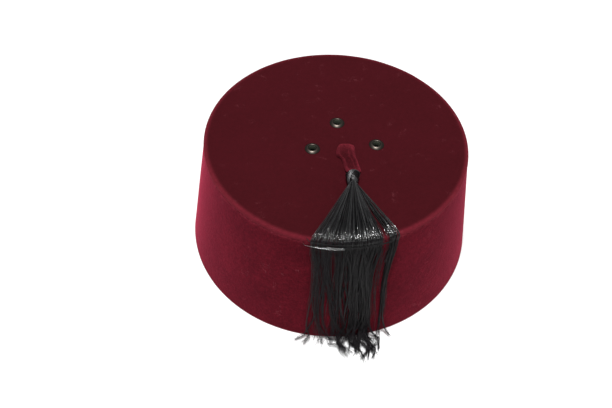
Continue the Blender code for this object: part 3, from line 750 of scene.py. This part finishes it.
tassel = dict(
    seed=68,
    perWisp=10,
    perFineWisp=14,
    thickness=0.33,
    fineThickness=0.17,
    ends=(0.8, 0.75),  # of the thickness, at the neck and at the tip
    neck=(10.1, -41.8),
    neckBack=-32.5,
    neckHeight=4.3,
    neckRadius=2.3,
    # a thread's place across the neck, from -1 to 1, follows its azimuth at the edge; the outermost
    # places are these shares of the radius, for x and for the height
    fanMiddle=5,
    fanHalfWidth=17,
    neckFill=(0.95, 0.9),
    fanParts=(0, 0.22, 0.48, 0.75),  # stations before the bend, as shares of the way to it
    fanRise=0.9,  # the power that their shares take for the height
    # threads lie in layers from the innermost to the outermost, each time a distance or height and
    # how much it grows: outside the top's radius at the edge, off the side, and on the floor
    plumb=(0.95, 1.05),
    wall=(0.4, 1.9),
    floor=(0.5, 1.6),
    # the bend over the edge, a row for each station: distance in from the plumb line, and the heights
    # above the top of the lowest and the highest threads there
    bend=[
        (16.0, 0.5, 4.2),
        (11.0, 0.9, 4.4),
        (7.5, 1.7, 4.5),
        (5.3, 1.95, 4.3),
        (3.2, 1.6, 3.9),
        (1.8, 1.2, 3.44),
        (0.0, 0.55, 2.84),
        (-0.45, -1.2, 0.9),
        (-0.1, -3.4, -2.6),
    ],
    # on the top the threads are crimped up and down: at most this far, growing between the first two
    # of these stations and dying between the last two, and by layer like the others above
    crimpLimit=0.9,
    crimpAlong=(1.5, 4.5, 9, 12),
    crimpDepth=(0.3, 0.7),
    hangFrom=76.0,  # the height where a thread has left the bend and hangs plumb
    slant=1.01,  # millimetres down the sloping side for each of height
    # stations from there to the tip, as shares of that way
    hangParts=(0.04, 0.16, 0.32, 0.48, 0.64, 0.77, 0.86, 0.93, 1.0),
    plumbTurn=0.8,  # how softly a thread meets the side, and the floor
    floorTurn=1.6,
    footHeight=3.0,  # the foot of the side, where the way out on the floor starts, and how far off it
    footGap=1.0,
    secondBow=0.6,  # a tip bows once to one side, and by this share once more to and fro
    pastTip=1.2,  # the bow goes on this far along the way to the tip
    levels=(50.0, 25.0, 5.0),  # heights above the floor where a lock's middle and width are given
    changes=(11, 19),  # the stations where a thread has left the bend and where it meets the floor
    dullShare=0.1,  # of the wisps, rubbed dull along their whole length
    # what chance does to a wisp: how far it strays at the three levels, in half widths of its lock,
    # how loose it is, its tip's place, how far along the way to its tip it ends and how much shorter,
    # how the tip curls, how it sways (degrees, and the height and phase of a wave), and its crimp
    wisp=dict(stray=(0.4, 0.85, 1.0), looseness=0.45, tip=1.5, reach=(1.07, 0.2), curl=3.2,
              sway=(0.4, 11, 3), crimp=0.234, shade=(1.3, 2.2)),
    # and to each of its threads: how far aside it lies at the edge, in half the room of a wisp, how
    # much of that is left at the first level, degrees at the three levels, and the rest likewise
    thread=dict(spread=0.8, gathered=0.75, stray=(0.1, 0.17, 0.3), tip=0.7, layer=0.15, wallLayer=0.2,
                curl=0.3, sway=(0.12, 7, 4), crimp=0.3, shade=0.25, reach=0.1, end=6),
    # the least share of its way that a thread goes on the floor, and the most that one is cut above it
    shortestTip=0.05,
    highestEnd=62,
    # a lock is a row: its wisps, its two azimuths at the edge, its middle and half width in degrees
    # at the three levels above the floor, x and y of its tip, the share of wisps that end above the
    # floor and how high the shortest one ends
    leftLocks=[
        (2, -8.9, -7.4, -6.2, 1.4, -6.0, 1.6, -7.6, 1.6, -14.0, -101.5, 0.1, 30),
        (2, -7.4, -5.0, -4.9, 1.8, -4.2, 1.8, -4.0, 1.8, -7.5, -101.5, 0.4, 45),
        (4, -5.0, -1.8, -2.4, 2.2, -0.9, 1.8, 0.9, 1.5, 3.0, -102.0, 0.5, 45),
        (4, -1.8, 1.4, 0.7, 2.3, 2.4, 1.9, 3.6, 1.5, 10.5, -107.5, 0.5, 45),
        (4, 1.4, 3.6, 3.1, 1.9, 4.0, 1.8, 5.2, 1.6, 11.5, -108.0, 0.5, 40),
    ],
    rightLocks=[
        (10, 3.6, 7.4, 6.3, 2.1, 6.7, 1.9, 7.2, 1.7, 15.5, -104.0, 0.65, 30),
        (15, 7.4, 11.5, 9.5, 1.9, 9.7, 1.7, 9.8, 1.6, 21.5, -108.5, 0.58, 30),
        (15, 11.5, 15.4, 12.5, 1.8, 12.7, 1.6, 12.4, 1.5, 25.5, -107.5, 0.62, 30),
        (10, 15.4, 19.0, 14.6, 1.4, 14.9, 1.2, 14.6, 1.5, 31.5, -103.0, 0.6, 35),
    ],
    sideLocks=[
        (3, 22.3, 23.5, 20.8, 0.5, 20.4, 0.2, 20.7, 0.3, 36.5, -92.0, 1.0, 85),
        (2, 23.5, 24.7, 21.1, 0.4, 20.5, 0.25, 21.2, 0.5, 36.5, -92.0, 1.0, 60),
        (1, 24.7, 25.6, 21.4, 0.3, 20.7, 0.3, 22.4, 0.6, 41.0, -96.0, 0.4, 30),
    ],
)

loose = dict(
    count=110,
    thickness=0.2,
    edge=(-9.0, 35.0, 1.5),  # first azimuth, width, and the power that crowds them to the left
    gather=(0.84, 0.8),  # the azimuth at 50 mm is the edge's times the first plus the second
    halfWidth=0.2,
    drift=(0.7, 0.9, 1.3, 2.0),  # degrees of chance at each level and at the tip
    tipRadii=(97, 105),
    endShare=0.75,
    highestEnd=60,
)


def softAbove(value, width):
    # zero well below zero and the value itself well above, with a smooth turn of that width
    return width * np.logaddexp(0, value / width)


def looseRows(rng):
    # single threads that leave their wisps: a row of the lock table each, with azimuths that drift
    # from level to level and tips strewn along the foot of the side
    count = loose["count"]
    start, width, power = loose["edge"]
    scale, shift = loose["gather"]
    edge = start + width * rng.uniform(0, 1, count) ** power
    half = np.full(count, loose["halfWidth"])
    drift50, drift25, drift5, driftTip = loose["drift"]
    at50 = edge * scale + shift + rng.normal(0, drift50, count)
    at25 = at50 + rng.normal(0, drift25, count)
    at5 = at25 + rng.normal(0, drift5, count)
    tipRadius = rng.uniform(*loose["tipRadii"], count)
    tips = around(tipRadius, at5 + rng.normal(0, driftTip, count), 0.0)
    return np.column_stack([
        np.ones(count), edge, edge, at50, half, at25, half, at5, half, tips[:, :2],
        np.full(count, loose["endShare"]), np.full(count, loose["highestEnd"])])


def layered(name, layer):
    # a distance or height that grows evenly from the innermost layer, 0, to the outermost, 1
    first, growth = tassel[name]
    return first + growth * layer


def fanAndBend(azimuth, plumb, layer, crimp):
    # straight from the neck to the edge and over it through the bend's table, each height between
    # that of the lowest and the highest thread by its layer, and crimped up and down on the way
    edgePoint = around(plumb, azimuth, 0.0)[:, :2]
    spread = np.clip((azimuth - tassel["fanMiddle"]) / tassel["fanHalfWidth"], -1, 1)
    fillX, fillZ = tassel["neckFill"]
    neckX = tassel["neck"][0] + tassel["neckRadius"] * fillX * spread
    neckHalf = tassel["neckRadius"] * np.sqrt(1 - (fillZ * spread) ** 2)
    neckZ = tassel["neckHeight"] + neckHalf * (2 * layer - 1)
    neckFront = np.column_stack([neckX, np.full_like(neckX, tassel["neck"][1])])
    neckBack = np.column_stack([neckX, np.full_like(neckX, tassel["neckBack"])])
    way = edgePoint - neckFront
    wayLength = np.linalg.norm(way, axis=1)
    inward, lowest, highest = np.array(tassel["bend"]).T
    bendShares = 1 - inward[None, :] / wayLength[:, None]
    bendZ = lowest + (highest - lowest) * layer[:, None]
    fanParts = np.array(tassel["fanParts"])
    shares = np.concatenate([bendShares[:, :1] * fanParts, bendShares], axis=1)
    fanZ = neckZ[:, None] + (bendZ[:, :1] - neckZ[:, None]) * fanParts ** tassel["fanRise"]
    z = np.concatenate([fanZ, bendZ], axis=1)
    crimp = np.clip(crimp, -tassel["crimpLimit"], tassel["crimpLimit"])
    crimp *= np.interp(np.arange(z.shape[1]), tassel["crimpAlong"], [0, 1, 1, 0])
    z = z + crimp * layered("crimpDepth", layer[:, None])
    plan = neckFront[:, None] + way[:, None] * shares[..., None]
    upper = np.concatenate([plan, hat["height"] + z[..., None]], axis=2)
    back = np.column_stack([neckBack, hat["height"] + neckZ])[:, None]
    return np.concatenate([back, upper], axis=1)


def betweenLevels(z, levels):
    # azimuths on the cubic through those at the four heights
    heights = np.array([tassel["hangFrom"], *tassel["levels"]])
    azimuth = np.zeros_like(z)
    for k, height in enumerate(heights):
        others = np.delete(heights, k)
        azimuth += np.prod((z[..., None] - others) / (height - others), axis=-1) * levels[:, k:k + 1]
    return azimuth


def swayed(z, size, phase, wave):
    # degrees that a thread sways to and fro as a sine of its height
    degrees, height, phases = wave
    return size * degrees * np.sin(z / height + phase * phases)


def tasselPaths(locks, many, rng):
    # each thread's line: over the edge, plumb until it meets the side, down the side with its wisp,
    # and out on the floor towards the tip, or up to its end above the floor
    byWisp, byThread = tassel["wisp"], tassel["thread"]
    locks = np.array(locks)
    counts = locks[:, 0].astype(int)
    rows = np.repeat(locks, counts, axis=0)
    place = np.concatenate([(np.arange(n) + 0.5) / n * 2 - 1 for n in counts])
    tipX, tipY, endShare, highest = rows.T[-4:]
    wisps = len(rows)
    stray = rng.normal(0, 1, (wisps, 3)) * byWisp["stray"]
    looseness = np.exp(rng.normal(0, byWisp["looseness"], wisps))
    tips = np.column_stack([tipX, tipY]) + rng.normal(0, byWisp["tip"], (wisps, 2))
    shades = rng.beta(*byWisp["shade"], wisps)
    layer = rng.uniform(0, 1, wisps)
    wallLayer = rng.uniform(0, 1, wisps)
    onFloor = rng.uniform(0, 1, wisps) > endShare
    endHeight = highest * rng.uniform(0, 1, wisps)
    farthest, shorter = byWisp["reach"]
    reach = farthest - rng.exponential(shorter, wisps)
    curl = rng.normal(0, byWisp["curl"], (wisps, 2))
    sway = rng.normal(0, 1, (wisps, 2))
    threads, stations = wisps * many, len(tassel["fanParts"]) + len(tassel["bend"])
    crimp = rng.laplace(0, byWisp["crimp"], (wisps, stations))

    # from here on there is a row for each thread: threads lie evenly at the edge and gather below
    byWisps = (rows, place, stray, looseness, tips, shades, layer, wallLayer, onFloor, endHeight,
               reach, curl, sway, crimp)
    (rows, place, stray, looseness, tips, shades, layer, wallLayer, onFloor, endHeight,
     reach, curl, sway, crimp) = (np.repeat(values, many, axis=0) for values in byWisps)
    own = rng.normal(0, 1, (threads, 5))
    aside = rng.uniform(-byThread["spread"], byThread["spread"], threads) * 2 / rows[:, 0]
    _, edgeFrom, edgeTo, at50, half50, at25, half25, at5, half5 = rows.T[:9]
    stray50, stray25, stray5 = byThread["stray"]
    levels = np.stack([
        (edgeFrom + edgeTo) / 2 + (edgeTo - edgeFrom) / 2 * (place + aside),
        at50 + half50 * (place + aside * byThread["gathered"] + stray[:, 0]) + own[:, 0] * stray50,
        at25 + half25 * (place + stray[:, 1]) + own[:, 1] * stray25 * looseness,
        at5 + half5 * (place + stray[:, 2]) + own[:, 2] * stray5 * looseness], axis=1)
    tips = tips + own[:, 1:3] * byThread["tip"]
    layer = np.clip(layer + own[:, 3] * byThread["layer"], 0, 1)
    wallLayer = np.clip(wallLayer + own[:, 4] * byThread["wallLayer"], 0, 1)
    scatter = rng.normal(0, 1, threads)
    curl = curl + rng.normal(0, byThread["curl"], (threads, 2))
    crimp = crimp + rng.laplace(0, byThread["crimp"], (threads, stations))
    plumb = hat["topRadius"] + layered("plumb", layer)
    upper = fanAndBend(levels[:, 0], plumb, layer, crimp)

    # down the side and out on the floor, with z on the way down and out on the way from the foot
    floor = layered("floor", wallLayer)
    wallLength = (tassel["hangFrom"] - floor) * tassel["slant"]
    footRadius = wallRadius(tassel["footHeight"]) + outOfRound(levels[:, 3], tassel["footHeight"])
    foot = around(footRadius + tassel["footGap"] + wallLayer, levels[:, 3], 0.0)[:, :2]
    outWay = tips - foot
    outLength = np.linalg.norm(outWay, axis=1)
    outWay /= outLength[:, None]
    onward = outLength * np.maximum(reach + byThread["reach"] * scatter, tassel["shortestTip"])
    short = np.clip(endHeight + byThread["end"] * scatter, 0, tassel["highestEnd"])
    total = wallLength + np.where(onFloor, onward, -short)
    lower = total[:, None] * np.array(tassel["hangParts"])
    z = floor[:, None] + softAbove(wallLength[:, None] - lower, tassel["floorTurn"])
    out = softAbove(lower - wallLength[:, None], tassel["floorTurn"])
    azimuth = betweenLevels(z, levels)
    azimuth += swayed(z, sway[:, :1], sway[:, 1:], byWisp["sway"])
    azimuth += swayed(z, own[:, 3:4], own[:, 4:5], byThread["sway"])
    against = wallRadius(z) + outOfRound(azimuth, z) + layered("wall", wallLayer[:, None])
    radius = against + softAbove(plumb[:, None] - against, tassel["plumbTurn"])
    lowerPoints = around(radius, azimuth, z)
    sideways = np.stack([-outWay[:, 1], outWay[:, 0]], axis=1)
    share = np.clip(out / outLength[:, None], 0, tassel["pastTip"])
    bow = curl[:, :1] * np.sin(np.pi * share)
    bow += curl[:, 1:] * np.sin(2 * np.pi * share) * tassel["secondBow"]
    lowerPoints[..., :2] += outWay[:, None] * out[..., None] + sideways[:, None] * bow[..., None]
    paths = np.concatenate([upper, lowerPoints], axis=1)
    shades = np.clip(shades + rng.normal(0, byThread["shade"], threads), 0, 1)
    dull = np.repeat(rng.uniform(0, 1, wisps) < tassel["dullShare"], many)
    return paths, shades, dull


def taper(paths, thickness):
    # a thread keeps its thickness and is thinner at the neck and over its last stations
    stations = paths.shape[1]
    atNeck, atTip = tassel["ends"]
    share = np.interp(
        np.arange(stations), [0, 1, 4, stations - 3, stations - 1], [atNeck, atNeck, 1, 1, atTip])
    return thickness * share[None, :]


def makeTassel():
    # its four pieces, one after another from one seeded generator; loose threads and the thin ones
    # on the left hang in the paler thread, painted light for their shade, the others matted, and all
    # the tips on the floor are painted paler too
    rng = np.random.default_rng(tassel["seed"])
    fine, full = tassel["fineThickness"], tassel["thickness"]
    for name, locks, many, thickness, hanging in (
            ("tasselThreadsLeft", tassel["leftLocks"], tassel["perFineWisp"], fine, paintedLightRayon),
            ("tasselThreadsRight", tassel["rightLocks"], tassel["perWisp"], full, mattedRayon),
            ("tasselSideLock", tassel["sideLocks"], tassel["perWisp"], full, mattedRayon),
            ("tasselLooseThreads", looseRows(rng), 1, loose["thickness"], paintedLightRayon)):
        paths, shades, dull = tasselPaths(locks, many, rng)
        threadPiece(
            name, paths, taper(paths, thickness), shades, [glossyRayon, hanging, paintedLightRayon],
            "thread_tassel", ["tassel"], changes=tassel["changes"], dull=dull)


makeTassel()

tie = dict(
    seed=5,
    stations=40,
    # what chance does to a thread: its length, height, a slow wave up and down, and its radius
    stray=dict(length=0.04, height=0.12, wave=0.4, radius=0.15),
    wave=(2.2, 2),  # radians of that wave over half the length, and by how much it may start later
    shades=(0.1, 0.8),
    tuck=(0.86, 1.5, 2.2),  # from which share of the half length the ends turn in, power and depth
    # threads laid across at the bend: how many, two azimuths, by how much each next one starts
    # later, height, band height, sag, radius, thickness
    groups=dict(
        tieAcross=(2, -11.2, 19.4, 0, 82.9, 0.4, 0.5, 85.15, 0.26),
        tieFront=(5, -12.6, 4.2, 2.3, 80.0, 1.0, 0.4, 85.95, 0.28),
        tieMiddle=(4, -6.0, 4.6, 0, 79.5, 0.7, 0.15, 86.05, 0.3),
        tieRight=(3, 2.6, 24.2, 0, 80.4, 0.8, 0.2, 85.75, 0.26),
    ),
    glossy=("tieFront", "tieMiddle"),
)


def makeTie():
    # threads that cross the others level at the bend: each keeps to a radius just outside them,
    # turns in towards the side at both ends and sags a little between
    rng = np.random.default_rng(tie["seed"])
    u = np.linspace(-1, 1, tie["stations"])[None, :]
    stray, (wave, phases) = tie["stray"], tie["wave"]
    tuckFrom, power, depth = tie["tuck"]
    tuck = np.clip((np.abs(u) - tuckFrom) / (1 - tuckFrom), 0, 1) ** power * depth
    for name, (count, start, end, later, height, band, sag, reach, thickness) in tie["groups"].items():
        longer, higher, waving, phase, wider = rng.normal(0, 1, (count, 5)).T[..., None]
        first = start + later * np.arange(count)[:, None]
        azimuth = (first + end) / 2 + (end - first) / 2 * u * (1 + stray["length"] * longer)
        level = np.linspace(-0.5, 0.5, count)[:, None] * band
        z = height + level + higher * stray["height"] - sag * (1 - u**2)
        z = z + stray["wave"] * waving * np.sin(wave * u + phase * phases)
        radius = reach + stray["radius"] * wider - tuck
        material = glossyRayon if name in tie["glossy"] else mattedRayon
        threadPiece(
            name, around(radius, azimuth, z), thickness, rng.uniform(*tie["shades"], count),
            [material], "thread_tassel", sides=4)


makeTie()

binding = dict(
    seed=8,
    centre=(10.1, 4.3),
    back=-33.8,
    front=-42.2,
    places=[0.0, 0.12, 0.5, 0.8, 1.0],
    radii=[3.5, 3.8, 3.2, 2.5, 1.9],
    turns=24,
    perTurn=20,
    thickness=0.5,
    # turns laid slantwise over it: how many, where they start and end along the neck, how far each
    # swings and the phase of the swing
    crossings=[(7, 0.3, 0.5, 0.7, -2.18), (5, 0.4, 0.7, 0.36, 1.1)],
    crossThickness=0.6,
    perCrossing=30,
    swingStray=0.06,
    phaseStray=0.15,
    crossEnds=(0.03, 0.97),  # they stay between these places along the neck
    crossGap=(0.35, 0.8),  # how far outside the spindle they lie
    shade=0.1,
    crossShades=(0.3, 1),
)


def roundNeck(radius, along, angle):
    # points round the neck's axis at a radius, a share of the way to its front and an angle
    x, z = binding["centre"]
    y = binding["back"] + (binding["front"] - binding["back"]) * along
    return together(x + radius * np.cos(angle), y, hat["height"] + z + radius * np.sin(angle))


def makeBinding():
    # one thread wound from the back to the front on a spindle whose radius follows the table, and
    # turns round the spindle that swing along it like a sine wave
    share = np.linspace(0, 1, binding["turns"] * binding["perTurn"] + 1)
    spindle = np.interp(share, binding["places"], binding["radii"])
    coil = roundNeck(spindle, share, 2 * np.pi * binding["turns"] * share)[None]
    rng = np.random.default_rng(binding["seed"])
    start, swing, phase = np.concatenate([
        [np.linspace(first, last, count), np.full(count, swing), np.full(count, phase)]
        for count, first, last, swing, phase in binding["crossings"]], axis=1)[..., None]
    swingStray, phaseStray = rng.normal(0, 1, (len(start), 2)).T[..., None]
    swing = swing + binding["swingStray"] * swingStray
    phase = phase + binding["phaseStray"] * phaseStray
    turn = np.linspace(0, 2 * np.pi, binding["perCrossing"] + 1)[None, :-1]
    along = np.clip(start + swing * np.sin(turn + phase), *binding["crossEnds"])
    radius = np.interp(along, binding["places"], binding["radii"])
    loops = roundNeck(radius + rng.uniform(*binding["crossGap"], start.shape), along, turn)
    loops = np.concatenate([loops, loops[:, :1]], axis=1)
    threadPiece(
        "neckWinding", coil, binding["thickness"], np.array([binding["shade"]]), [mattedRayon],
        "thread_binding", ["tassel_binding"], sides=6)
    threadPiece(
        "neckCrossTurns", loops, binding["crossThickness"],
        rng.uniform(*binding["crossShades"], len(start)), [bindingRayon], "thread_binding", sides=5)


makeBinding()
print("tassel made")

stage = dict(
    reach=6.0,  # metres from the middle of the floor to its sides
    floorHex="f4f4f4",
    surround=0.24,  # strength of the white all round
)


def makeStage():
    # a plain pale floor and a bright even surround
    mesh = bpy.data.meshes.new("floor")
    reach = stage["reach"]
    mesh.from_pydata([(-reach, -reach, 0), (reach, -reach, 0), (reach, reach, 0), (-reach, reach, 0)],
                     [], [(0, 1, 2, 3)])
    floor = bpy.data.objects.new("floor", mesh)
    bpy.context.scene.collection.objects.link(floor)
    material, tree = newMaterial("paleStudioFloor")
    finishMaterial(
        tree, {"Base Color": linearColour(stage["floorHex"]), "Roughness": 0.9, "Specular IOR Level": 0.1})
    mesh.materials.append(material)

    world = bpy.data.worlds.new("studio")
    bpy.context.scene.world = world
    world.use_nodes = True
    background = world.node_tree.nodes["Background"]
    background.inputs["Color"].default_value = (1, 1, 1, 1)
    background.inputs["Strength"].default_value = stage["surround"]


makeStage()

lights = dict(
    # name: x, y, z in metres, width in metres, watts
    overhead=(-0.05, 0.05, 1.30, 0.75, 1.5),
    lamp=(-0.05, -0.08, 1.20, 0.18, 15.8),
    front=(0.30, -1.30, 0.60, 1.0, 4.8),
)
lightAim = (0, 0, 0.04)  # the middle of the hat


def makeLights():
    # square area lights turned from the place they stand to where they aim
    for name, (x, y, z, width, watts) in lights.items():
        data = bpy.data.lights.new(name, "AREA")
        data.size, data.energy = width, watts
        light = bpy.data.objects.new(name, data)
        light.location = (x, y, z)
        direction = Vector(lightAim) - light.location
        light.rotation_euler = direction.to_track_quat("-Z", "Y").to_euler()
        bpy.context.scene.collection.objects.link(light)


makeLights()

camera = dict(
    place=(-0.01705, -0.37134, 0.45051),
    elevation=49.396,
    roll=2.863,
    lens=48.60,  # on a 36 mm sensor this is 826 pixels for a picture 612 wide
    sensor=36.0,
    clip=(0.01, 30),
)


def makeCamera():
    # looks down by the elevation, then rolls about its own line of sight
    data = bpy.data.cameras.new("camera")
    data.lens, data.sensor_width = camera["lens"], camera["sensor"]
    data.clip_start, data.clip_end = camera["clip"]
    made = bpy.data.objects.new("camera", data)
    down, roll = math.radians(camera["elevation"]), math.radians(camera["roll"])
    forward = np.array([0, math.cos(down), -math.sin(down)])
    up = np.array([0, math.sin(down), math.cos(down)])
    right = np.array([1.0, 0, 0])
    turnedRight = math.cos(roll) * right + math.sin(roll) * up
    turnedUp = -math.sin(roll) * right + math.cos(roll) * up
    columns = (*turnedRight, 0), (*turnedUp, 0), (*-forward, 0), (*camera["place"], 1)
    made.matrix_world = Matrix(columns).transposed()
    bpy.context.scene.collection.objects.link(made)
    bpy.context.scene.camera = made


makeCamera()
bpy.context.scene.view_settings.view_transform = "Standard"
print("stage, lights and camera made")

bpy.context.view_layer.update()
